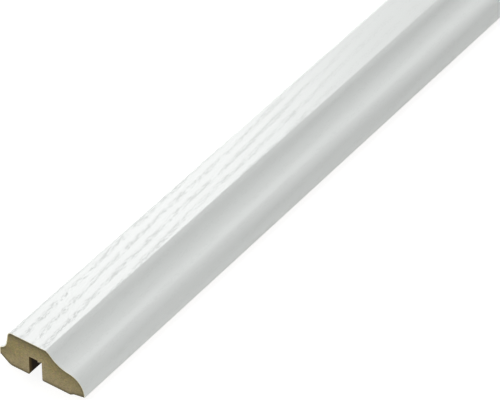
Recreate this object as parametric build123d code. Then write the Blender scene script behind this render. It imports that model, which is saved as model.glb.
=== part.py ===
from build123d import *
import os
from math import acos, copysign, cos, degrees, radians, sin, tan

# Cornice moulding: a milled MDF bar wrapped in a white ash-grain decor foil, lying on its back.
# The frame has +X along the length, the ogee facing -Y, the cove facing +Y and +Z up.
# Its origin is on the floor under the middle of the bar. Lengths are millimetres, angles degrees.

# Overall size
LENGTH = 2400.0
WIDTH = 40.0
HEIGHT = 16.5
FOIL_THICKNESS = 0.3

# Cove side of the show face, from the foot of the nose upwards
NOSE_FOOT = 3.4
NOSE_FACE = 2.9
NOSE_RADIUS = 0.9
LEDGE_ANGLE = 21.5
COVE_RADIUS = 4.4
WALL_LEAN = 9.5
COVE_EDGE_RADIUS = 2.1

# Ogee side of the show face, from the top edge down to the foot of the lip
ARRIS_ANGLE = 25.0
ARRIS_RADIUS = 0.8
ROUND_RADIUS = 7.0
HOLLOW_RADIUS = 12.8
SLOPE_ANGLE = 9.3
SLOPE_RUN = 1.4
BELLY_RADIUS = 7.8
LIP_FACE = 0.75
LIP_FOOT = 2.0

# Underside: the chamfer under the nose, the clip groove and the relief under the lip
CHAMFER_WIDTH = 4.9
CHAMFER_BLEND = 3.5
GROOVE_WALL = 13.9
GROOVE_WIDTH = 6.1
GROOVE_DEPTH = 9.1
GROOVE_MOUTH_RADIUS = 0.5
RELIEF_WIDTH = 6.8
RELIEF_RAMP = 1.6
RELIEF_RISE = 1.0
RELIEF_EDGE_RADIUS = 0.6
RELIEF_KNEE_RADIUS = 2.0

# Angles of the section that other values are worked out from
wall_angle = 90.0 - WALL_LEAN
ledge, wall = radians(LEDGE_ANGLE), radians(wall_angle)
arris, slope = radians(ARRIS_ANGLE), radians(SLOPE_ANGLE)

# Cove side: the leaning wall takes up what the rounds leave of the height
nose_rise = NOSE_RADIUS * cos(ledge)
nose_run = NOSE_RADIUS * (1 - sin(ledge))
cove_rise = COVE_RADIUS * (cos(ledge) - cos(wall))
cove_run = COVE_RADIUS * (sin(wall) - sin(ledge))
cove_edge_rise = COVE_EDGE_RADIUS * (1 - cos(wall))
cove_edge_run = COVE_EDGE_RADIUS * sin(wall)
wall_rise = HEIGHT - NOSE_FOOT - NOSE_FACE - nose_rise - cove_rise - cove_edge_rise
cove_side = nose_run + cove_run + wall_rise / tan(wall) + cove_edge_run

# Ogee side: under the arris the round turns as steep as it must for the hollow to fall to the slope
belly_rise = BELLY_RADIUS * cos(slope)
belly_run = BELLY_RADIUS * (1 - sin(slope))
ogee_fall = HEIGHT - LIP_FOOT - LIP_FACE - belly_rise - SLOPE_RUN * sin(slope)
arris_fall = ARRIS_RADIUS * (1 - cos(arris))
fall_at_ends = ROUND_RADIUS * cos(arris) + HOLLOW_RADIUS * cos(slope)
steep = acos((arris_fall + fall_at_ends - ogee_fall) / (ROUND_RADIUS + HOLLOW_RADIUS))
round_run = ROUND_RADIUS * (sin(steep) - sin(arris))
hollow_run = HOLLOW_RADIUS * (sin(steep) - sin(slope))
ogee_side = ARRIS_RADIUS * sin(arris) + round_run + hollow_run + SLOPE_RUN * cos(slope) + belly_run

# The flat top takes up what the two sides leave of the width
top_flat = WIDTH - cove_side - ogee_side

# Show face as steps of a straight run, then a bend of a radius through a turn to the left
SHOW_FACE = [
    (NOSE_FACE, NOSE_RADIUS, LEDGE_ANGLE - 90),
    (0, COVE_RADIUS, wall_angle - LEDGE_ANGLE),
    (wall_rise / sin(wall), COVE_EDGE_RADIUS, -wall_angle),
    (top_flat, ARRIS_RADIUS, -ARRIS_ANGLE),
    (0, ROUND_RADIUS, ARRIS_ANGLE - degrees(steep)),
    (0, HOLLOW_RADIUS, degrees(steep) - SLOPE_ANGLE),
    (SLOPE_RUN, BELLY_RADIUS, SLOPE_ANGLE - 90),
    (LIP_FACE, 0, 0),
]

# Section plane at the far end: local x runs from the cove side to the ogee side, local y is up
SECTION_PLANE = Plane(origin=(LENGTH / 2, WIDTH / 2, 0), x_dir=(0, -1, 0), z_dir=(-1, 0, 0))


def show_face(inset):
    """Edges of the show face, from the foot of the nose to the foot of the lip, moved inwards by inset."""
    edges = []
    point = Vector(inset, NOSE_FOOT)
    heading = 90
    for run, radius, turn in SHOW_FACE:
        direction = Vector(1, 0).rotate(Axis.Z, heading)
        if run:
            edges.append(Line(point, point + direction * run))
            point = edges[-1] @ 1
        if turn:
            edges.append(JernArc(point, direction, radius + copysign(inset, turn), turn))
            point = edges[-1] @ 1
            heading += turn
    return edges


def underside():
    """Bare back of the core, from the foot of the lip past the clip groove to the foot of the nose."""
    relief_edge = WIDTH - RELIEF_WIDTH
    groove_far_wall = GROOVE_WALL + GROOVE_WIDTH
    corners = [
        ((relief_edge + RELIEF_RAMP, RELIEF_RISE), RELIEF_KNEE_RADIUS),
        ((relief_edge, 0), RELIEF_EDGE_RADIUS),
        ((groove_far_wall, 0), GROOVE_MOUTH_RADIUS),
        ((groove_far_wall, GROOVE_DEPTH), 0),
        ((GROOVE_WALL, GROOVE_DEPTH), 0),
        ((GROOVE_WALL, 0), GROOVE_MOUTH_RADIUS),
        ((CHAMFER_WIDTH, 0), CHAMFER_BLEND),
    ]
    start = (WIDTH - FOIL_THICKNESS, LIP_FOOT)
    end = (FOIL_THICKNESS, NOSE_FOOT)
    points = [start] + [point for point, radius in corners] + [end]
    return FilletPolyline(*points, radius=[radius for point, radius in corners]).edges()


def bar(edges):
    """A bar of the whole length with the closed outline that the edges make."""
    return extrude(SECTION_PLANE * make_face(edges), LENGTH)


def mdf_core():
    """The milled MDF bar under the foil."""
    return bar(show_face(FOIL_THICKNESS) + list(underside()))


def decor_foil():
    """The decor foil over the show face, cut square at the foot of the nose and the foot of the lip."""
    nose_edge = Line((0, NOSE_FOOT), (FOIL_THICKNESS, NOSE_FOOT))
    lip_edge = Line((WIDTH, LIP_FOOT), (WIDTH - FOIL_THICKNESS, LIP_FOOT))
    return bar(show_face(0) + [lip_edge] + show_face(FOIL_THICKNESS) + [nose_edge])


os.makedirs("parts", exist_ok=True)
export_step(mdf_core(), "parts/mdf_core.step")
export_step(decor_foil(), "parts/decor_foil.step")
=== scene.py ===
"""Looks of a foil-wrapped cornice moulding that lies on its back on a pale studio floor.

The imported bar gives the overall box. Its section is drawn again here with fine rounds and swept to that
box, so that the foil's grain can follow the wrapped sheet and the sawn ends can have their fuzzy relief.
Sizes of the pieces and the finishes are in millimetres, those of the studio in metres.
"""

import logging
import math
import random
from dataclasses import dataclass
from enum import Enum

import bmesh
import bpy
import numpy as np
from mathutils import Matrix, Vector, geometry, noise


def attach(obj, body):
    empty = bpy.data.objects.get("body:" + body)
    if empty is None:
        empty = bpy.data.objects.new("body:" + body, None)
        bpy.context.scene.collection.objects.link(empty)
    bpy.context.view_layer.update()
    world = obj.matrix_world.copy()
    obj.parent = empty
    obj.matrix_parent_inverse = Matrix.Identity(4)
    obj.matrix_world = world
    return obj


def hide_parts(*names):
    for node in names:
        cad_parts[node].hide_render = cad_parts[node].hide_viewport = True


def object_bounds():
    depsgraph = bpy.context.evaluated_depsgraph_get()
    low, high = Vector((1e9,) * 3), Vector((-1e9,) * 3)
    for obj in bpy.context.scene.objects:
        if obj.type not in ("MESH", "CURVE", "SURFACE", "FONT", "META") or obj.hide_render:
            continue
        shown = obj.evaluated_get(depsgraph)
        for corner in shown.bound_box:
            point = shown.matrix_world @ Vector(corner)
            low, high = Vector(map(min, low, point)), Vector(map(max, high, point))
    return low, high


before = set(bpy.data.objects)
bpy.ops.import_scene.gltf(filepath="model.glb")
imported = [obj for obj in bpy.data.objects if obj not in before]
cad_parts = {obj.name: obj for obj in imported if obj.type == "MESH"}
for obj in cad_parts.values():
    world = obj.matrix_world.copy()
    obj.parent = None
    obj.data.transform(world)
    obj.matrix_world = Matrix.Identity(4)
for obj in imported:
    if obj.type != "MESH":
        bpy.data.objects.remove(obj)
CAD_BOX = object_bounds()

LOG = logging.getLogger("cornice_moulding")
BODY = "root"
MM = 0.001
FULL_TURN = 2 * math.pi

# Attribute with the place on the foil's sheet: along the length, then across the wrap
SHEET = "sheet"
# Depth in millimetres at which the fibreboard shows no skin, darkening or painted shade of the groove
UNTOUCHED = 10.0

Point = tuple[float, float]
Colour = tuple[float, float, float, float]


class CadNode(Enum):
    """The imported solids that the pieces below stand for."""

    FOIL = "decor_foil"
    CORE = "mdf_core"


class BarEnd(Enum):
    """The two sawn ends, by the direction that each one faces along X."""

    NEAR = -1
    FAR = 1


class DepthMark(Enum):
    """Distances into a sawn face, in millimetres, that the fibreboard's finish reads as attributes."""

    UNDER_FOIL = "under_foil"
    OFF_BACK = "off_back"
    # On the groove's own faces this mark holds the painted shade, as a negative number
    OFF_GROOVE = "off_groove"


def linear(hex_colour: str) -> Colour:
    """Turns an sRGB hex colour into linear light.

    Args:
        hex_colour: six hex digits after a hash sign.

    Returns:
        Red, green, blue and an alpha of 1.
    """
    shares = [int(hex_colour[i:i + 2], 16) / 255 for i in (1, 3, 5)]
    red, green, blue = [s / 12.92 if s <= 0.04045 else ((s + 0.055) / 1.055) ** 2.4 for s in shares]
    return red, green, blue, 1.0


def add_node(tree: bpy.types.NodeTree, kind: str, inputs: dict | None = None, **settings) -> bpy.types.Node:
    """Adds a node to a shader or geometry tree.

    Args:
        tree: the tree that gets the node.
        kind: the node's type name.
        inputs: socket name or number to a value, or to the output socket that is linked to it.
        settings: the node's own options.

    Returns:
        The new node.
    """
    node = tree.nodes.new(kind)
    for name, value in settings.items():
        setattr(node, name, value)
    for key, value in (inputs or {}).items():
        named = [s for s in node.inputs if s.name == key and s.enabled]
        socket = node.inputs[key] if isinstance(key, int) else named[0]
        if isinstance(value, bpy.types.NodeSocket):
            tree.links.new(value, socket)
        else:
            socket.default_value = value
    return node


def new_material(name: str) -> tuple[bpy.types.NodeTree, bpy.types.Node]:
    """Makes a material whose tree holds nothing but its output node.

    Args:
        name: the material's name.

    Returns:
        The tree and its output node.
    """
    material = bpy.data.materials.new(name)
    material.use_nodes = True
    material.node_tree.nodes.clear()
    return material.node_tree, add_node(material.node_tree, "ShaderNodeOutputMaterial")


def new_geometry_tree(name: str, inputs: dict[str, str]) -> tuple[bpy.types.NodeTree, bpy.types.Node]:
    """Makes a Geometry Nodes tree with named inputs.

    Args:
        name: the tree's name.
        inputs: each input's name and socket type, in order.

    Returns:
        The tree and its group input node.
    """
    tree = bpy.data.node_groups.new(name, "GeometryNodeTree")
    for label, kind in inputs.items():
        tree.interface.new_socket(label, in_out="INPUT", socket_type=kind)
    tree.interface.new_socket("Result", in_out="OUTPUT", socket_type="NodeSocketGeometry")
    return tree, add_node(tree, "NodeGroupInput")


def grow(name: str, seed_data: bpy.types.ID, tree: bpy.types.NodeTree, values: dict) -> bpy.types.Object:
    """Runs a Geometry Nodes tree on a curve or mesh and keeps the result as a plain mesh object.

    Args:
        name: the finished piece's name.
        seed_data: the curve or mesh that the tree starts from.
        tree: the tree to run.
        values: the tree's inputs by name.

    Returns:
        The new mesh object, at the origin, with no modifier.
    """
    seed = bpy.data.objects.new(name + "_seed", seed_data)
    bpy.context.scene.collection.objects.link(seed)
    modifier = seed.modifiers.new(tree.name, "NODES")
    modifier.node_group = tree
    for item in tree.interface.items_tree:
        if item.in_out == "INPUT" and item.name in values:
            modifier[item.identifier] = values[item.name]
    evaluated = seed.evaluated_get(bpy.context.evaluated_depsgraph_get())
    mesh = bpy.data.meshes.new_from_object(evaluated)
    bpy.data.objects.remove(seed)
    mesh.name = name
    piece = bpy.data.objects.new(name, mesh)
    bpy.context.scene.collection.objects.link(piece)
    return piece


def dress(piece: bpy.types.Object, node: CadNode, stands_for: bool) -> None:
    """Makes a piece ride on the bar and, if it takes a solid's place, hides that solid.

    Args:
        piece: the finished piece.
        node: the solid whose finish it has.
        stands_for: whether it takes that solid's place.
    """
    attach(piece, BODY)
    if stands_for:
        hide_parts(node.value)
    LOG.info("%s: %d faces", piece.name, len(piece.data.polygons))


@dataclass(frozen=True)
class Section:
    """The moulding's section in millimetres: w across from the cove side, v up from the floor."""

    width: float
    height: float
    foil: float = 0.3
    nose_foot: float = 3.4
    nose_face: float = 2.9
    nose_radius: float = 0.9
    ledge_angle: float = 21.5
    cove_radius: float = 4.4
    wall_lean: float = 9.5
    cove_edge_radius: float = 2.1
    arris_angle: float = 25.0
    arris_radius: float = 0.8
    round_radius: float = 7.0
    hollow_radius: float = 12.8
    slope_angle: float = 9.3
    slope_run: float = 1.4
    belly_radius: float = 7.8
    lip_face: float = 0.75
    lip_foot: float = 2.0
    chamfer_width: float = 4.9
    chamfer_blend: float = 3.5
    groove_wall: float = 13.9
    groove_width: float = 6.1
    groove_depth: float = 9.1
    groove_mouth_radius: float = 0.5
    relief_width: float = 6.8
    relief_ramp: float = 1.6
    relief_rise: float = 1.0
    relief_edge_radius: float = 0.6
    relief_knee_radius: float = 2.0
    arc_step: float = 4.0

    def show_face_steps(self) -> list[tuple[float, float, float]]:
        """Works out the show face from the cove side to the lip.

        Returns:
            Steps of a straight run, a bend's radius and its turn to the left in degrees.
        """
        wall_angle = 90 - self.wall_lean
        angles = self.ledge_angle, wall_angle, self.arris_angle, self.slope_angle
        ledge, wall, arris, slope = (math.radians(angle) for angle in angles)
        foot_to_cove = self.nose_foot + self.nose_face + self.nose_radius * math.cos(ledge)
        cove_rise = self.cove_radius * (math.cos(ledge) - math.cos(wall))
        edge_rise = self.cove_edge_radius * (1 - math.cos(wall))
        wall_rise = self.height - foot_to_cove - cove_rise - edge_rise
        cove_side = self.nose_radius * (1 - math.sin(ledge)) + wall_rise / math.tan(wall)
        cove_side += self.cove_radius * (math.sin(wall) - math.sin(ledge))
        cove_side += self.cove_edge_radius * math.sin(wall)
        belly_rise = self.belly_radius * math.cos(slope)
        lip_top = self.lip_foot + self.lip_face
        fall = self.height - lip_top - belly_rise - self.slope_run * math.sin(slope)
        fall -= self.arris_radius * (1 - math.cos(arris))
        fall_at_ends = self.round_radius * math.cos(arris) + self.hollow_radius * math.cos(slope)
        steep = math.acos((fall_at_ends - fall) / (self.round_radius + self.hollow_radius))
        ogee_side = self.arris_radius * math.sin(arris)
        ogee_side += self.round_radius * (math.sin(steep) - math.sin(arris))
        ogee_side += self.hollow_radius * (math.sin(steep) - math.sin(slope))
        ogee_side += self.slope_run * math.cos(slope) + self.belly_radius * (1 - math.sin(slope))
        top_flat = self.width - cove_side - ogee_side
        steep_angle = math.degrees(steep)
        return [
            (self.nose_face, self.nose_radius, self.ledge_angle - 90),
            (0, self.cove_radius, wall_angle - self.ledge_angle),
            (wall_rise / math.sin(wall), self.cove_edge_radius, -wall_angle),
            (top_flat, self.arris_radius, -self.arris_angle),
            (0, self.round_radius, self.arris_angle - steep_angle),
            (0, self.hollow_radius, steep_angle - self.slope_angle),
            (self.slope_run, self.belly_radius, self.slope_angle - 90),
            (self.lip_face, 0, 0),
        ]

    def show_face(self, inset: float) -> list[Point]:
        """Works out the show face, from the foot of the nose over the top to the foot of the lip.

        Args:
            inset: how far the line lies under the outer face.

        Returns:
            Its points, as many for any inset.
        """
        w, v, heading = inset, self.nose_foot, math.pi / 2
        points = [(w, v)]
        for run, radius, turn in self.show_face_steps():
            if run:
                w += run * math.cos(heading)
                v += run * math.sin(heading)
                points.append((w, v))
            if turn:
                side = math.copysign(1, turn)
                bend = radius + side * inset
                parts = math.ceil(abs(turn) / self.arc_step)
                centre_w = w - side * bend * math.sin(heading)
                centre_v = v + side * bend * math.cos(heading)
                for _ in range(parts):
                    heading += math.radians(turn) / parts
                    w = centre_w + side * bend * math.sin(heading)
                    v = centre_v - side * bend * math.cos(heading)
                    points.append((w, v))
        return points

    def underside(self) -> list[Point]:
        """Works out the bare back, from the foot of the lip past the groove to the foot of the nose.

        Returns:
            Its points without the first and the last, which the show face has.
        """
        relief_edge = self.width - self.relief_width
        far_wall = self.groove_wall + self.groove_width
        corners = [
            ((self.width - self.foil, self.lip_foot), 0),
            ((relief_edge + self.relief_ramp, self.relief_rise), self.relief_knee_radius),
            ((relief_edge, 0), self.relief_edge_radius),
            ((far_wall, 0), self.groove_mouth_radius),
            ((far_wall, self.groove_depth), 0),
            ((self.groove_wall, self.groove_depth), 0),
            ((self.groove_wall, 0), self.groove_mouth_radius),
            ((self.chamfer_width, 0), self.chamfer_blend),
            ((self.foil, self.nose_foot), 0),
        ]
        points = []
        for (before, _), (corner, radius), (after, _) in zip(corners, corners[1:], corners[2:]):
            points += self.rounded(Vector(before), Vector(corner), Vector(after), radius)
        return points

    def rounded(self, before: Vector, corner: Vector, after: Vector, radius: float) -> list[Point]:
        """Rounds a corner of the bare back.

        Args:
            before: the corner before it.
            corner: the corner itself.
            after: the corner after it.
            radius: the round's radius, or 0 for a sharp corner.

        Returns:
            Points along the round, or the sharp corner alone.
        """
        if not radius:
            return [tuple(corner)]
        back, on = (before - corner).normalized(), (after - corner).normalized()
        half = back.angle(on) / 2
        centre = corner + (back + on).normalized() * radius / math.sin(half)
        start = corner + back * radius / math.tan(half) - centre
        end = corner + on * radius / math.tan(half) - centre
        turn = start.angle_signed(end)
        parts = math.ceil(abs(math.degrees(turn)) / self.arc_step)
        spokes = [Matrix.Rotation(-turn * i / parts, 2) @ start for i in range(parts + 1)]
        return [tuple(centre + spoke) for spoke in spokes]

    def core_outline(self, pitch: float) -> list[Point]:
        """Works out the core's closed outline under the foil.

        Args:
            pitch: the most that neighbouring points are apart.

        Returns:
            The points, clockwise as seen from the near end.
        """
        corners = self.show_face(self.foil) + self.underside()
        points = []
        for (w, v), (next_w, next_v) in zip(corners, corners[1:] + corners[:1]):
            parts = math.ceil(math.hypot(next_w - w, next_v - v) / pitch)
            points += [(w + (next_w - w) * i / parts, v + (next_v - v) * i / parts) for i in range(parts)]
        return points

    def foil_outline(self) -> list[Point]:
        """The foil's closed outline: its outer face, then its glued face on the way back."""
        return self.show_face(0) + self.show_face(self.foil)[::-1]


@dataclass(frozen=True)
class AshFoil:
    """White decor foil, printed and embossed as open-pored ash and lacquered satin.

    The eye sees an even cool white with a soft sheen. The pores of the spring wood lie in bands that wander
    along the length and break off here and there. They are dull, so they read as grey dashes where the
    lacquer shines and hardly show elsewhere. They are drawn 0.4 mm wide, wider than the real ones, so that
    they show in the render.
    """

    white: str = "#EDF0EE"
    pore: str = "#EAEDEB"
    roughness: float = 0.28
    pore_roughness: float = 0.8
    ior: float = 1.5
    ring_spacing: float = 4.6
    ring_start: float = 1.2
    band_width: float = 2.8
    band_core: float = 1.2
    sway: float = 16.0
    sway_length: float = 2000.0
    sway_start: float = 1200.0
    wander: float = 3.0
    wander_length: float = 90.0
    wander_width: float = 25.0
    wander_detail: float = 0.5
    fade_length: float = 16.0
    fade_width: float = 4.0
    faint_below: float = 0.38
    full_above: float = 0.55
    faint_share: float = 0.35
    pore_length: float = 1.4
    pore_width: float = 0.42
    dash_core: float = 0.35
    dash_edge: float = 0.6
    tooth_length: float = 9.0
    tooth_width: float = 0.6
    tooth_share: float = 0.35
    grain_detail: float = 2.0
    emboss: float = 0.03
    emboss_strength: float = 0.4

    def material(self) -> bpy.types.Material:
        """Builds the foil on the sheet's own coordinates: along the length, then across the wrap.

        Returns:
            The material.
        """
        tree, output = new_material("ash_decor_foil")
        sheet = add_node(tree, "ShaderNodeAttribute", attribute_name=SHEET)
        flat = add_node(tree, "ShaderNodeVectorMath", {0: sheet.outputs["Vector"], "Scale": 1 / MM},
                        operation="SCALE")
        along = add_node(tree, "ShaderNodeSeparateXYZ", {0: flat.outputs[0]})
        turns = FULL_TURN / self.sway_length
        phase = add_node(tree, "ShaderNodeMath", {
            0: along.outputs["X"], 1: turns, 2: turns * self.sway_start}, operation="MULTIPLY_ADD")
        wave = add_node(tree, "ShaderNodeMath", {0: phase.outputs[0]}, operation="SINE")
        swayed = add_node(tree, "ShaderNodeMath", {0: wave.outputs[0], 1: self.sway, 2: self.ring_start},
                          operation="MULTIPLY_ADD")
        wander_place = add_node(tree, "ShaderNodeVectorMath", {
            0: flat.outputs[0], 1: (1 / self.wander_length, 1 / self.wander_width, 0)}, operation="MULTIPLY")
        wander = add_node(tree, "ShaderNodeTexNoise", {
            "Vector": wander_place.outputs[0], "Scale": 1.0, "Detail": self.wander_detail})
        drift = add_node(tree, "ShaderNodeMath", {
            0: wander.outputs["Fac"], 1: self.wander, 2: swayed.outputs[0]}, operation="MULTIPLY_ADD")
        sideways = add_node(tree, "ShaderNodeCombineXYZ", {"Y": drift.outputs[0]})
        grain = add_node(tree, "ShaderNodeVectorMath", {0: flat.outputs[0], 1: sideways.outputs[0]},
                         operation="ADD")
        sizes = {
            "fade": (self.fade_length, self.fade_width), "pores": (self.pore_length, self.pore_width),
            "tooth": (self.tooth_length, self.tooth_width)}
        places = {
            name: add_node(tree, "ShaderNodeVectorMath", {0: grain.outputs[0], 1: (1 / length, 1 / width, 0)},
                           operation="MULTIPLY").outputs[0]
            for name, (length, width) in sizes.items()}
        fade, tooth = (
            add_node(tree, "ShaderNodeTexNoise", {
                "Vector": places[name], "Scale": 1.0, "Detail": self.grain_detail}).outputs["Fac"]
            for name in ("fade", "tooth"))

        across = add_node(tree, "ShaderNodeSeparateXYZ", {0: grain.outputs[0]})
        off_ring = add_node(tree, "ShaderNodeMath", {0: across.outputs["Y"], 1: self.ring_spacing / 2},
                            operation="PINGPONG")
        bands = add_node(tree, "ShaderNodeMapRange", {
            "Value": off_ring.outputs[0], "From Min": self.band_width / 2, "From Max": self.band_core / 2},
            interpolation_type="SMOOTHSTEP")
        strength = add_node(tree, "ShaderNodeMapRange", {
            "Value": fade, "From Min": self.faint_below, "From Max": self.full_above,
            "To Min": self.faint_share, "To Max": 1.0})
        density = add_node(tree, "ShaderNodeMath", {
            0: bands.outputs["Result"], 1: strength.outputs["Result"]}, operation="MULTIPLY")
        cells = add_node(tree, "ShaderNodeTexVoronoi", {"Vector": places["pores"], "Scale": 1.0})
        lot = add_node(tree, "ShaderNodeSeparateColor", {"Color": cells.outputs["Color"]})
        open_pore = add_node(tree, "ShaderNodeMath", {0: lot.outputs["Red"], 1: density.outputs[0]},
                             operation="LESS_THAN")
        dashes = add_node(tree, "ShaderNodeMapRange", {
            "Value": cells.outputs["Distance"], "From Min": self.dash_edge, "From Max": self.dash_core},
            interpolation_type="SMOOTHSTEP")
        pores = add_node(tree, "ShaderNodeMath", {0: open_pore.outputs[0], 1: dashes.outputs["Result"]},
                         operation="MULTIPLY")

        colour = add_node(tree, "ShaderNodeMix", {
            "Factor": pores.outputs[0], "A": linear(self.white), "B": linear(self.pore)}, data_type="RGBA")
        gloss = add_node(tree, "ShaderNodeMapRange", {
            "Value": pores.outputs[0], "To Min": self.roughness, "To Max": self.pore_roughness})
        raised = add_node(tree, "ShaderNodeMath", {0: tooth, 1: self.tooth_share}, operation="MULTIPLY")
        height = add_node(tree, "ShaderNodeMath", {0: raised.outputs[0], 1: pores.outputs[0]},
                          operation="SUBTRACT")
        bump = add_node(tree, "ShaderNodeBump", {
            "Height": height.outputs[0], "Strength": self.emboss_strength, "Distance": self.emboss * MM})
        shader = add_node(tree, "ShaderNodeBsdfPrincipled", {
            "Base Color": colour.outputs["Result"], "Roughness": gloss.outputs["Result"],
            "Normal": bump.outputs["Normal"], "IOR": self.ior})
        tree.links.new(shader.outputs[0], output.inputs["Surface"])
        return bpy.data.materials["ash_decor_foil"]


@dataclass(frozen=True)
class FoilCutEdge:
    """The foil's sawn edge: the cream paper inside it shows as a hairline, a little uneven from the saw."""

    cream: str = "#FCF6DC"
    shade: str = "#E6DEBC"
    fleck: float = 0.8
    fleck_detail: float = 2.0
    roughness: float = 0.7

    def material(self) -> bpy.types.Material:
        """Builds the cut edge on Object coordinates.

        Returns:
            The material.
        """
        tree, output = new_material("foil_cut_edge")
        place = add_node(tree, "ShaderNodeTexCoord")
        flecks = add_node(tree, "ShaderNodeTexNoise", {
            "Vector": place.outputs["Object"], "Scale": 1 / (self.fleck * MM), "Detail": self.fleck_detail})
        colour = add_node(tree, "ShaderNodeMix", {
            "Factor": flecks.outputs["Fac"], "A": linear(self.cream), "B": linear(self.shade)},
            data_type="RGBA")
        shader = add_node(tree, "ShaderNodeBsdfPrincipled", {
            "Base Color": colour.outputs["Result"], "Roughness": self.roughness})
        tree.links.new(shader.outputs[0], output.inputs["Surface"])
        return bpy.data.materials["foil_cut_edge"]


@dataclass(frozen=True)
class Tint:
    """A tone over the board: its share goes from first to last while a pattern goes from low to high."""

    tone: str
    pattern: bpy.types.NodeSocket
    low: float
    high: float
    first: float
    last: float


@dataclass(frozen=True)
class Fibreboard:
    """Raw medium-density fibreboard, sawn at the ends and milled on the back.

    The eye sees a dull olive-brown felt of pressed fibres, finely mottled tan, green and mauve, with dark
    bark flecks. It is paler low down and beside the groove, darker towards the board's dense pressed face
    and under the foil, and has a thin dark skin there and along the feet. The groove has painted shade,
    almost black inside and brown only close to the sawn ends, where light gets in.
    """

    name: str = "raw_fibreboard"
    tan: str = "#B69F6F"
    green: str = "#A09A68"
    mauve: str = "#A08E72"
    dark: str = "#716B4E"
    skin: str = "#434134"
    # Painted shade in the groove: brown near the sawn ends, almost black further in
    groove_end_shade: str = "#78633C"
    groove_deep_shade: str = "#1C140D"
    pale: str = "#BFAF8C"
    roughness: float = 0.92
    specular: float = 0.2
    mottle: float = 1.0
    tinge: float = 1.4
    fibre_length: float = 0.9
    fibre_depth: float = 0.4
    fleck: float = 0.4
    foil_skin: float = 1.3
    foil_shade: float = 6.0
    back_skin: float = 1.6
    board: float = 16.2
    dense_depth: float = 3.5
    pale_foot: float = 2.0
    pale_rise: float = 9.0
    pale_width: float = 4.0
    # Mark at which the groove's painted shade turns from brown to almost black
    half_groove_shade: float = 0.5
    mottle_detail: float = 1.0
    fibre_detail: float = 4.0
    nap: float = 0.08
    nap_strength: float = 0.6

    def material(self) -> bpy.types.Material:
        """Builds the board on Object coordinates, with its skins and the groove's painted shade from the
        depth marks.

        Returns:
            The material.
        """
        tree, output = new_material(self.name)
        place = add_node(tree, "ShaderNodeTexCoord")
        under_foil, off_back, off_groove = (
            add_node(tree, "ShaderNodeAttribute", attribute_name=mark.value).outputs["Fac"]
            for mark in DepthMark)
        mottle, tinge, flecks = (
            add_node(tree, "ShaderNodeTexNoise", {
                "Vector": place.outputs["Object"], "Scale": 1 / (size * MM),
                "Detail": self.mottle_detail}).outputs["Fac"]
            for size in (self.mottle, self.tinge, self.fleck))
        rise = add_node(tree, "ShaderNodeSeparateXYZ", {0: place.outputs["Object"]}).outputs["Z"]
        felt = 1 / (self.fibre_length * MM), 1 / (self.fibre_length * MM), 1 / (self.fibre_depth * MM)
        fibre_place = add_node(tree, "ShaderNodeVectorMath", {0: place.outputs["Object"], 1: felt},
                               operation="MULTIPLY")
        fibres = add_node(tree, "ShaderNodeTexNoise", {
            "Vector": fibre_place.outputs[0], "Scale": 1.0, "Detail": self.fibre_detail}).outputs["Fac"]
        dense_from, dense_to = (self.board - self.dense_depth) * MM, self.board * MM
        tints = [
            Tint(self.green, mottle, low=0.4, high=0.6, first=0.0, last=1.0),
            Tint(self.mauve, tinge, low=0.5, high=0.65, first=0.0, last=0.8),
            Tint(self.pale, rise, low=self.pale_foot * MM, high=self.pale_rise * MM, first=0.6, last=0.0),
            Tint(self.pale, off_groove, low=0.0, high=self.pale_width, first=0.45, last=0.0),
            Tint(self.dark, fibres, low=0.45, high=0.75, first=0.0, last=0.6),
            Tint(self.dark, flecks, low=0.62, high=0.72, first=0.0, last=0.7),
            Tint(self.dark, under_foil, low=0.0, high=self.foil_shade, first=0.45, last=0.0),
            Tint(self.skin, rise, low=dense_from, high=dense_to, first=0.0, last=0.4),
            Tint(self.skin, under_foil, low=0.0, high=self.foil_skin, first=0.5, last=0.0),
            Tint(self.skin, off_back, low=0.0, high=self.back_skin, first=0.7, last=0.0),
            # Painted shade in the groove, read from its marks
            Tint(self.groove_end_shade, off_groove, low=-self.half_groove_shade, high=0.0, first=1.0, last=0.0),
            Tint(self.groove_deep_shade, off_groove, low=-1.0, high=-self.half_groove_shade, first=0.97, last=0.0),
        ]
        colour = linear(self.tan)
        for tint in tints:
            share = add_node(tree, "ShaderNodeMapRange", {
                "Value": tint.pattern, "From Min": tint.low, "From Max": tint.high,
                "To Min": tint.first, "To Max": tint.last})
            mixed = add_node(tree, "ShaderNodeMix", {
                "Factor": share.outputs["Result"], "A": colour, "B": linear(tint.tone)}, data_type="RGBA")
            colour = mixed.outputs["Result"]
        bump = add_node(tree, "ShaderNodeBump", {
            "Height": fibres, "Strength": self.nap_strength, "Distance": self.nap * MM})
        shader = add_node(tree, "ShaderNodeBsdfPrincipled", {
            "Base Color": colour, "Roughness": self.roughness, "Specular IOR Level": self.specular,
            "Normal": bump.outputs["Normal"]})
        tree.links.new(shader.outputs[0], output.inputs["Surface"])
        return bpy.data.materials[self.name]


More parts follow.
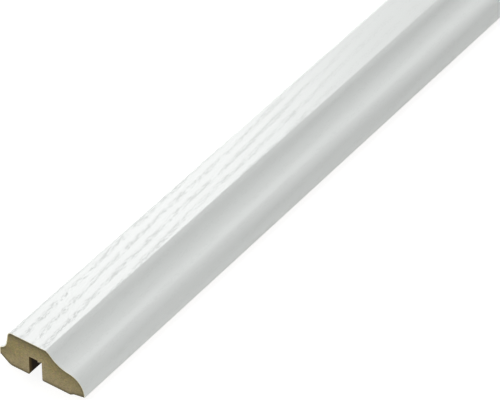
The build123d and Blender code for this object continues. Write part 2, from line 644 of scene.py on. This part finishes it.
@dataclass(frozen=True)
class Bar:
    """What the pieces share: the section, the length and the rule that sweeps an outline to that length."""

    section: Section
    length: float

    def sweep_tree(self, name: str) -> bpy.types.NodeTree:
        """Builds the tree that sweeps a section curve along X and marks the sheet's own coordinates.

        Args:
            name: the tree's name.

        Returns:
            The tree, with the inputs Section, Length, Stations and Material.
        """
        tree, start = new_geometry_tree(name, {
            "Section": "NodeSocketGeometry", "Length": "NodeSocketFloat", "Stations": "NodeSocketInt",
            "Material": "NodeSocketMaterial"})
        developed = add_node(tree, "GeometryNodeSplineParameter")
        marked = add_node(tree, "GeometryNodeStoreNamedAttribute", {
            "Geometry": start.outputs["Section"], "Name": "developed", "Value": developed.outputs["Length"]})
        near = add_node(tree, "ShaderNodeMath", {0: start.outputs["Length"], 1: -0.5}, operation="MULTIPLY")
        far = add_node(tree, "ShaderNodeMath", {0: start.outputs["Length"], 1: 0.5}, operation="MULTIPLY")
        near_point = add_node(tree, "ShaderNodeCombineXYZ", {"X": near.outputs[0]})
        far_point = add_node(tree, "ShaderNodeCombineXYZ", {"X": far.outputs[0]})
        rail = add_node(tree, "GeometryNodeCurvePrimitiveLine", {
            "Start": near_point.outputs[0], "End": far_point.outputs[0]})
        stations = add_node(tree, "GeometryNodeResampleCurve", {
            "Curve": rail.outputs["Curve"], "Count": start.outputs["Stations"]})
        bar = add_node(tree, "GeometryNodeCurveToMesh", {
            "Curve": stations.outputs["Curve"], "Profile Curve": marked.outputs["Geometry"]})
        place = add_node(tree, "GeometryNodeInputPosition")
        along = add_node(tree, "ShaderNodeSeparateXYZ", {0: place.outputs[0]})
        across = add_node(tree, "GeometryNodeInputNamedAttribute", {"Name": "developed"})
        sheet = add_node(tree, "ShaderNodeCombineXYZ", {
            "X": along.outputs["X"], "Y": across.outputs["Attribute"]})
        mapped = add_node(tree, "GeometryNodeStoreNamedAttribute", {
            "Geometry": bar.outputs["Mesh"], "Name": SHEET, "Value": sheet.outputs[0]},
            data_type="FLOAT_VECTOR")
        plain = add_node(tree, "GeometryNodeRealizeInstances", {"Geometry": mapped.outputs["Geometry"]})
        finished = add_node(tree, "GeometryNodeSetMaterial", {
            "Geometry": plain.outputs["Geometry"], "Material": start.outputs["Material"]})
        add_node(tree, "NodeGroupOutput", {"Result": finished.outputs["Geometry"]})
        return tree

    def place(self, x: float, point: Point) -> Vector:
        """Turns a point of the section, in millimetres, into the frame's metres at x."""
        return Vector((x, (self.section.width / 2 - point[0]) * MM, point[1] * MM))

    def swept(
        self, name: str, outline: list[Point], stations: int, material: bpy.types.Material
    ) -> bpy.types.Object:
        """Sweeps a closed outline over the whole length.

        Args:
            name: the piece's name.
            outline: the outline's points, clockwise as seen from the near end.
            stations: how many rings of points the bar has along its length.
            material: the finish.

        Returns:
            The open-ended bar. Its points run ring by ring from the near end, in the outline's order.
        """
        curve = bpy.data.curves.new(name, "CURVE")
        curve.dimensions = "3D"
        spline = curve.splines.new("POLY")
        spline.points.add(len(outline) - 1)
        for target, (w, v) in zip(spline.points, outline):
            target.co = ((w - self.section.width / 2) * MM, -v * MM, 0, 1)
        spline.use_cyclic_u = True
        values = {"Length": self.length, "Stations": stations, "Material": material}
        return grow(name, curve, self.sweep_tree(name + "_sweep"), values)


@dataclass
class FoilWrap:
    """The decor foil that wraps the show face."""

    bar: Bar
    stations: int = 97
    crease_angle: float = 30.0

    def build(self) -> bpy.types.Object:
        """Sweeps the foil and closes its two sawn edges with a strip of faces each.

        Returns:
            The finished piece.
        """
        outline = self.bar.section.foil_outline()
        piece = self.bar.swept("ash_foil_wrap", outline, self.stations, AshFoil().material())
        piece.data.materials.append(FoilCutEdge().material())
        mesh = bmesh.new()
        mesh.from_mesh(piece.data)
        mesh.verts.ensure_lookup_table()
        count = len(outline)
        for end in BarEnd:
            first = 0 if end is BarEnd.NEAR else (self.stations - 1) * count
            for i in range(count // 2 - 1):
                corners = [first + i, first + count - 1 - i, first + count - 2 - i, first + i + 1]
                order = corners if end is BarEnd.NEAR else corners[::-1]
                strip = mesh.faces.new([mesh.verts[k] for k in order])
                strip.material_index = 1
        mesh.to_mesh(piece.data)
        mesh.free()
        piece.data.shade_smooth()
        piece.data.set_sharp_from_angle(angle=math.radians(self.crease_angle))
        dress(piece, CadNode.FOIL, stands_for=True)
        return piece


@dataclass
class FibreboardBar:
    """The milled fibreboard bar under the foil, with two fuzzy sawn ends."""

    bar: Bar
    stations: int = 61
    outline_pitch: float = 0.5
    grain_pitch: float = 0.42
    clear_of_outline: float = 0.22
    saw_depth: float = 0.1
    arris_depth: float = 0.06
    tear_width: float = 0.7
    tear_height: float = 0.3
    # How far the groove's painted shade fades in from each sawn end, and how much of it shows there
    groove_shade_fade: float = 2.2
    end_groove_shade: float = 0.55
    crease_angle: float = 35.0
    seed: int = 11

    def build(self) -> bpy.types.Object:
        """Sweeps the core and closes it with relief ends.

        Returns:
            The finished piece.
        """
        outline = self.bar.section.core_outline(self.outline_pitch)
        piece = self.bar.swept("fibreboard_bar", outline, self.stations, Fibreboard().material())
        mesh = bmesh.new()
        mesh.from_mesh(piece.data)
        self.mark_groove_shade(mesh, len(outline))
        for end in BarEnd:
            self.close_end(mesh, outline, end)
        mesh.to_mesh(piece.data)
        mesh.free()
        piece.data.shade_smooth()
        piece.data.set_sharp_from_angle(angle=math.radians(self.crease_angle))
        dress(piece, CadNode.CORE, stands_for=True)
        return piece

    def mark_groove_shade(self, mesh: bmesh.types.BMesh, count: int) -> None:
        """Marks how much shade is painted in the groove, from part of the way at each end to all the way
        inside.

        The ring of points next to each end moves to where the painted shade is full.

        Args:
            mesh: the open bar.
            count: how many points each ring has.
        """
        marks = {mark: mesh.loops.layers.float.new(mark.value) for mark in DepthMark}
        mesh.verts.ensure_lookup_table()
        half = self.bar.length / 2
        for end in BarEnd:
            ring = 1 if end is BarEnd.NEAR else self.stations - 2
            for vert in mesh.verts[ring * count:(ring + 1) * count]:
                vert.co.x = end.value * (half - self.groove_shade_fade * MM)
        for face in mesh.faces:
            _, across, up = face.calc_center_median() / MM
            grooved = self.in_groove((self.bar.section.width / 2 - across, up))
            for loop in face.loops:
                at_end = half - abs(loop.vert.co.x) < self.groove_shade_fade * MM / 2
                groove_shade = self.end_groove_shade if at_end else 1.0
                for layer in marks.values():
                    loop[layer] = UNTOUCHED
                if grooved:
                    # Painted shade in the groove, stored as a negative mark
                    loop[marks[DepthMark.OFF_GROOVE]] = -groove_shade

    def in_groove(self, point: Point) -> bool:
        """Tells the groove's part of the outline from the rest.

        Args:
            point: a point of the outline.

        Returns:
            Whether it belongs to the groove or its rounded mouth.
        """
        section = self.bar.section
        centre = section.groove_wall + section.groove_width / 2
        beside = abs(point[0] - centre) < section.groove_width / 2 + section.groove_mouth_radius
        return beside and point[1] < section.groove_depth + section.groove_mouth_radius

    def inner_points(self, outline: list[Point]) -> list[Point]:
        """Scatters points over a sawn face, clear of its outline.

        Args:
            outline: the core's outline.

        Returns:
            The points that lie inside.
        """
        draw = random.Random(self.seed)
        ring = np.array(outline)
        low, high = ring.min(0), ring.max(0)
        columns, rows = ((high - low) / self.grain_pitch).astype(int) + 1
        cells = [(i + draw.random(), j + draw.random()) for i in range(columns) for j in range(rows)]
        loose = low + np.array(cells) * self.grain_pitch
        start, run = ring, np.roll(ring, -1, axis=0) - ring
        crossing = (start[:, 1] > loose[:, None, 1]) != (start[:, 1] + run[:, 1] > loose[:, None, 1])
        rise = np.where(run[:, 1] == 0, 1, run[:, 1])
        meets = start[:, 0] + (loose[:, None, 1] - start[:, 1]) * run[:, 0] / rise
        inside = (crossing & (loose[:, None, 0] < meets)).sum(1) % 2 == 1
        clear = self.distance(loose, start, run) > self.clear_of_outline
        return [tuple(p) for p in loose[inside & clear]]

    def distance(self, points: np.ndarray, start: np.ndarray, run: np.ndarray) -> np.ndarray:
        """Distance of each point from the nearest of some stretches of the outline, in millimetres.

        Args:
            points: the points.
            start: where each stretch starts.
            run: from each stretch's start to its end.

        Returns:
            One distance for each point.
        """
        share = ((points[:, None] - start) * run).sum(2) / (run ** 2).sum(1)
        nearest = start + np.clip(share, 0, 1)[..., None] * run
        return np.linalg.norm(points[:, None] - nearest, axis=2).min(1)

    def saw_relief(self, point: Point, end: BarEnd) -> float:
        """How far the saw has torn a point of the face below the end plane, in millimetres."""
        layer = Vector((point[0] / self.tear_width, point[1] / self.tear_height, self.seed * end.value))
        return self.saw_depth * (0.5 + 0.5 * noise.noise(layer))

    def close_end(self, mesh: bmesh.types.BMesh, outline: list[Point], end: BarEnd) -> None:
        """Fills one end with a fine felt of triangles, torn a little below its plane, and marks the depths.

        Args:
            mesh: the open bar.
            outline: the core's outline, in the order of each ring.
            end: which end.
        """
        mesh.verts.ensure_lookup_table()
        first = 0 if end is BarEnd.NEAR else (self.stations - 1) * len(outline)
        ring = [mesh.verts[first + i] for i in range(len(outline))]
        inner = self.inner_points(outline)
        plane = end.value * self.bar.length / 2
        for vert in ring:
            vert.co.x -= end.value * self.arris_depth * MM
        felt = [
            mesh.verts.new(self.bar.place(plane - end.value * self.saw_relief(p, end) * MM, p))
            for p in inner]
        flat = [Vector(p) for p in outline + inner]
        border = list(range(len(outline)))
        inside_only, merge_gap = 1, 1e-6
        faces = geometry.delaunay_2d_cdt(flat, [], [border], inside_only, merge_gap)[2]
        start = np.array(outline)
        run = np.roll(start, -1, axis=0) - start
        grooved = np.array([self.in_groove(p) for p in start + run / 2])
        # Clockwise round the face, the foil lies over what runs right or falls, and the bare back runs left
        stretches = {
            DepthMark.UNDER_FOIL: ~grooved & (run[:, 0] > run[:, 1]),
            DepthMark.OFF_BACK: ~grooved & (run[:, 0] < 0),
            DepthMark.OFF_GROOVE: grooved}
        points = np.array(outline + inner)
        distances = {
            mesh.loops.layers.float[mark.value]: self.distance(points, start[chosen], run[chosen])
            for mark, chosen in stretches.items()}
        verts = ring + felt
        for corners in faces:
            order = corners if end is BarEnd.NEAR else corners[::-1]
            face = mesh.faces.new([verts[k] for k in order])
            for layer, distance in distances.items():
                for k, loop in zip(order, face.loops):
                    loop[layer] = distance[k]


@dataclass
class TornGrooveFibres:
    """The burr of torn fibres that the saw left hanging from the clip groove's roof at the near end."""

    bar: Bar
    burr_from: float = 18.05
    burr_to: float = 18.95
    burr_drop: float = 1.2
    burr_start: float = 0.25
    burr_reach: float = 0.4
    burr_rows: int = 4
    burr_columns: int = 9
    strand_radius: float = 0.2
    strand_tip: float = 0.01
    strand_sides: int = 6
    strand_segments: int = 3
    strand_lean: float = 0.2
    shortest_share: float = 0.6
    seed: int = 5

    def strand_tree(self) -> bpy.types.NodeTree:
        """Builds the tree that hangs a tapered strand from each point.

        Returns:
            The tree, with inputs for the roots, the sizes of a strand, the seed and the finish.
        """
        tree, start = new_geometry_tree("hanging_strands", {
            "Roots": "NodeSocketGeometry", "Drop": "NodeSocketFloat", "Radius": "NodeSocketFloat",
            "Tip": "NodeSocketFloat", "Sides": "NodeSocketInt", "Segments": "NodeSocketInt",
            "Lean": "NodeSocketFloat", "Shortest": "NodeSocketFloat", "Seed": "NodeSocketInt",
            "Material": "NodeSocketMaterial"})
        strand = add_node(tree, "GeometryNodeMeshCone", {
            "Vertices": start.outputs["Sides"], "Side Segments": start.outputs["Segments"],
            "Radius Top": start.outputs["Tip"], "Radius Bottom": start.outputs["Radius"],
            "Depth": start.outputs["Drop"]})
        back = add_node(tree, "ShaderNodeMath", {0: start.outputs["Lean"], 1: -1.0}, operation="MULTIPLY")
        low = add_node(tree, "ShaderNodeCombineXYZ", {"X": back.outputs[0], "Y": back.outputs[0]})
        high = add_node(tree, "ShaderNodeCombineXYZ", {
            "X": start.outputs["Lean"], "Y": start.outputs["Lean"], "Z": FULL_TURN})
        lean = add_node(tree, "FunctionNodeRandomValue", {
            "Min": low.outputs[0], "Max": high.outputs[0], "Seed": start.outputs["Seed"]},
            data_type="FLOAT_VECTOR")
        down = add_node(tree, "ShaderNodeVectorMath", {0: lean.outputs["Value"], 1: (math.pi, 0, 0)},
                        operation="ADD")
        length = add_node(tree, "FunctionNodeRandomValue", {
            "Min": start.outputs["Shortest"], "Max": 1.0, "Seed": start.outputs["Seed"]}, data_type="FLOAT")
        hung = add_node(tree, "GeometryNodeInstanceOnPoints", {
            "Points": start.outputs["Roots"], "Instance": strand.outputs["Mesh"], "Rotation": down.outputs[0],
            "Scale": length.outputs[1]})
        real = add_node(tree, "GeometryNodeRealizeInstances", {"Geometry": hung.outputs["Instances"]})
        finished = add_node(tree, "GeometryNodeSetMaterial", {
            "Geometry": real.outputs["Geometry"], "Material": start.outputs["Material"]})
        add_node(tree, "NodeGroupOutput", {"Result": finished.outputs["Geometry"]})
        return tree

    def roots(self) -> bpy.types.Mesh:
        """Places the points on the groove's roof, just behind the near end, that the burr hangs from.

        Returns:
            A mesh of those points alone.
        """
        roof = self.bar.section.groove_depth
        near = -self.bar.length / 2
        points = []
        for row in range(self.burr_rows):
            x = near + (self.burr_start + self.burr_reach * row / (self.burr_rows - 1)) * MM
            for column in range(self.burr_columns):
                share = column / (self.burr_columns - 1)
                across = self.burr_from + share * (self.burr_to - self.burr_from)
                points.append(self.bar.place(x, (across, roof)))
        mesh = bpy.data.meshes.new("burr_roots")
        mesh.from_pydata(points, [], [])
        return mesh

    def build(self) -> bpy.types.Object:
        """Grows the burr.

        Returns:
            The finished piece.
        """
        torn = Fibreboard(name="torn_fibre", tan="#BDB59C", green="#B5B093", mauve="#B3A894", dark="#94896C")
        values = {
            "Drop": self.burr_drop * MM, "Radius": self.strand_radius * MM, "Tip": self.strand_tip * MM,
            "Sides": self.strand_sides, "Segments": self.strand_segments, "Lean": self.strand_lean,
            "Shortest": self.shortest_share, "Seed": self.seed, "Material": torn.material()}
        piece = grow("torn_groove_fibres", self.roots(), self.strand_tree(), values)
        for mark in DepthMark:
            distance = piece.data.attributes.new(mark.value, "FLOAT", "POINT")
            distance.data.foreach_set("value", [UNTOUCHED] * len(piece.data.vertices))
        dress(piece, CadNode.CORE, stands_for=False)
        return piece


@dataclass(frozen=True)
class Softbox:
    """A soft rectangular lamp that faces a point of the bar, its width along the bar; metres and watts."""

    name: str
    target: Vector
    direction: Vector
    distance: float
    width: float
    height: float
    power: float

    def build(self) -> None:
        """Adds the lamp, out of the camera's sight."""
        light = bpy.data.lights.new(self.name, "AREA")
        light.shape = "RECTANGLE"
        light.size, light.size_y = self.width, self.height
        light.energy = self.power
        lamp = bpy.data.objects.new(self.name, light)
        facing = self.direction.normalized()
        along = (Vector((1, 0, 0)) - facing * facing.x).normalized()
        lamp.location = self.target + facing * self.distance
        lamp.rotation_euler = Matrix((along, facing.cross(along), facing)).transposed().to_euler()
        lamp.visible_camera = False
        bpy.context.scene.collection.objects.link(lamp)


@dataclass
class Studio:
    """A pale floor, a soft white room, soft lamps and the camera."""

    near_end: float
    length: float
    floor_size: float = 90.0
    floor_colour: str = "#F4F4F2"
    floor_glow: float = 1.4
    floor_glow_share: float = 0.62
    room_colour: str = "#FFFFFF"
    room_light: float = 0.16
    strip_overhang: float = 1.2
    strip_distance: float = 1.2
    sheen_lead: float = 0.235
    lens: float = 282.6
    sensor: float = 36.0
    aim_along: float = 0.1307
    aim_across: float = -0.0023
    distance: float = 1.551
    azimuth: float = -54.48
    elevation: float = 40.16

    def camera_direction(self) -> Vector:
        """Gives the direction from the aim point to the camera."""
        turn, tilt = math.radians(self.azimuth), math.radians(self.elevation)
        return Vector((math.sin(turn) * math.cos(tilt), -math.cos(turn) * math.cos(tilt), math.sin(tilt)))

    def build(self) -> None:
        """Makes the floor, the room, the lamps and the camera."""
        bpy.context.scene.view_settings.view_transform = "Standard"
        self.floor()
        self.room()
        for lamp in self.lamps():
            lamp.build()
        self.camera()

    def lamps(self) -> list[Softbox]:
        """Plans the lamps that light the whole bar and put the sheen on the near part of its top.

        Returns:
            A fill beside each end, the sheen's softbox, three strips along the bar and one over its far half.
        """
        back = self.camera_direction()
        mirror = Vector((-back.x, -back.y, back.z))
        before_end = Vector((self.near_end - self.sheen_lead, 0, 0))
        middle, far_half = Vector((0, 0, 0)), Vector((self.length / 4, 0, 0))
        end_fills = [
            Softbox(f"{end.name.lower()}_end_fill", Vector((-end.value * self.near_end, 0, 0)),
                    direction=Vector((0.8 * end.value, -0.5, 0.35)), distance=1.0,
                    width=0.6, height=0.6, power=4.2)
            for end in BarEnd]
        strip = {"distance": self.strip_distance, "width": self.strip_overhang * self.length}
        return end_fills + [
            Softbox("sheen_softbox", before_end, mirror, distance=1.0, width=0.68, height=0.33, power=4.1),
            Softbox("front_strip", middle, Vector((0, -1, 0.07)), height=0.15, power=2.2, **strip),
            Softbox("overhead_strip", middle, Vector((0, 0.15, 1)), height=0.4, power=2.4, **strip),
            Softbox("far_strip", far_half, Vector((0, -0.5, 1)), distance=0.6, width=self.length / 2,
                    height=0.25, power=1.6),
            Softbox("back_strip", middle, Vector((0, 1, 0.07)), height=0.12, power=7.5, **strip),
        ]

    def seen_directly(self, tree: bpy.types.NodeTree) -> bpy.types.NodeSocket:
        """Tells rays from the camera, a reflection or a refraction from those that carry light.

        Args:
            tree: the floor's or the room's tree.

        Returns:
            A socket that is 1 for such a ray and 0 for any other.
        """
        path = add_node(tree, "ShaderNodeLightPath").outputs
        seen = path["Is Camera Ray"]
        for kind in ("Is Glossy Ray", "Is Transmission Ray"):
            seen = add_node(tree, "ShaderNodeMath", {0: seen, 1: path[kind]}, operation="MAXIMUM").outputs[0]
        return seen

    def floor(self) -> None:
        """Lays a large floor that looks white to the camera and in reflections and keeps a soft shadow."""
        tree, output = new_material("pale_floor")
        share = add_node(tree, "ShaderNodeMath", {0: self.seen_directly(tree), 1: self.floor_glow_share},
                         operation="MULTIPLY")
        plain = add_node(tree, "ShaderNodeBsdfDiffuse", {"Color": linear(self.floor_colour)})
        glow = add_node(tree, "ShaderNodeEmission", {"Strength": self.floor_glow})
        mixed = add_node(tree, "ShaderNodeMixShader", {
            0: share.outputs[0], 1: plain.outputs[0], 2: glow.outputs[0]})
        tree.links.new(mixed.outputs[0], output.inputs["Surface"])
        half = self.floor_size / 2
        mesh = bpy.data.meshes.new("floor")
        corners = [(-half, -half, 0), (half, -half, 0), (half, half, 0), (-half, half, 0)]
        mesh.from_pydata(corners, [], [(0, 1, 2, 3)])
        mesh.materials.append(bpy.data.materials["pale_floor"])
        floor = bpy.data.objects.new("floor", mesh)
        bpy.context.scene.collection.objects.link(floor)

    def room(self) -> None:
        """Makes a white room: plain light on the bar, pure white where the camera or a reflection sees it."""
        world = bpy.data.worlds.new("white_room")
        bpy.context.scene.world = world
        world.use_nodes = True
        tree = world.node_tree
        tree.nodes.clear()
        strength = add_node(tree, "ShaderNodeMapRange", {
            "Value": self.seen_directly(tree), "To Min": self.room_light, "To Max": 1.0})
        background = add_node(tree, "ShaderNodeBackground", {
            "Color": linear(self.room_colour), "Strength": strength.outputs["Result"]})
        add_node(tree, "ShaderNodeOutputWorld", {"Surface": background.outputs[0]})

    def camera(self) -> None:
        """Stands the camera where the photograph was taken from, with its long lens."""
        back = self.camera_direction()
        data = bpy.data.cameras.new("camera")
        data.lens = self.lens
        data.sensor_width = self.sensor
        camera = bpy.data.objects.new("camera", data)
        aim = Vector((self.near_end + self.aim_along, self.aim_across, 0))
        camera.location = aim + back * self.distance
        camera.rotation_euler = back.to_track_quat("Z", "Y").to_euler()
        bpy.context.scene.collection.objects.link(camera)
        bpy.context.scene.camera = camera


def main() -> None:
    """Builds the moulding's pieces and the studio around them."""
    logging.basicConfig(level=logging.INFO)
    low, high = CAD_BOX
    size = high - low
    bar = Bar(Section(width=size.y / MM, height=size.z / MM), size.x)
    FoilWrap(bar).build()
    FibreboardBar(bar).build()
    TornGrooveFibres(bar).build()
    Studio(near_end=low.x, length=size.x).build()


if __name__ == "__main__":
    main()
